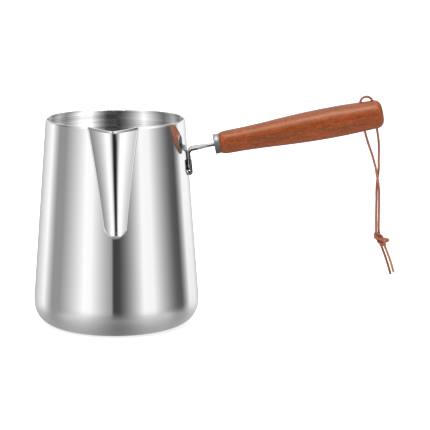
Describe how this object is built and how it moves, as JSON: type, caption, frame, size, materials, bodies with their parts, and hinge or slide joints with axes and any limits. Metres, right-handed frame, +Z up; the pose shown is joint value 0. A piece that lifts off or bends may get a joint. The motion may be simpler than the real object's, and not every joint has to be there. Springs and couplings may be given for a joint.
{
  "type": "turkish coffee pot cezve",
  "caption": "Tapered steel coffee pot with a rounded foot, soldered V spout, lift-out strip handle with turned wooden grip, ferrule and knotted leather hanging cord.",
  "frame": {"origin": "centre of the base's resting face, on the pot's axis", "axes": "+Z up along the pot's axis, +X towards the handle, -Y towards the spout"},
  "size_m": [0.2197, 0.1008, 0.1376],
  "materials": {
    "polished_steel": "mirror polished outside, fine circular brushing inside",
    "socket_steel": "satin pressed sheet",
    "strip_steel": "satin, as rolled",
    "ferrule_steel": "turned, semi-bright",
    "turned_wood": "turned hardwood, reddish brown, clear varnish",
    "leather_cord": "round leather cord, semi-matt"
  },
  "bodies": {
    "pot": {"pot_body": "polished_steel", "spout": "polished_steel", "handle_socket": "socket_steel"},
    "handle": {"handle_strip": "strip_steel", "ferrule": "ferrule_steel", "grip": "turned_wood", "lanyard_loop": "leather_cord"},
    "lanyard": {"lanyard_strand_front": "leather_cord", "lanyard_strand_rear": "leather_cord", "lanyard_knot": "leather_cord"}
  },
  "joints": [
    {"name": "handle_lift", "type": "slide", "parent": "pot", "child": "handle", "axis": [-0.0767, 0, 0.9971], "range_m": [0, 0.012]},
    {"name": "lanyard_swing", "type": "hinge", "parent": "handle", "child": "lanyard", "pos_m": [0.1532, 0, 0.11615], "axis": [0.9829, 0, 0.1839], "range_deg": [-55, 55]}
  ]
}
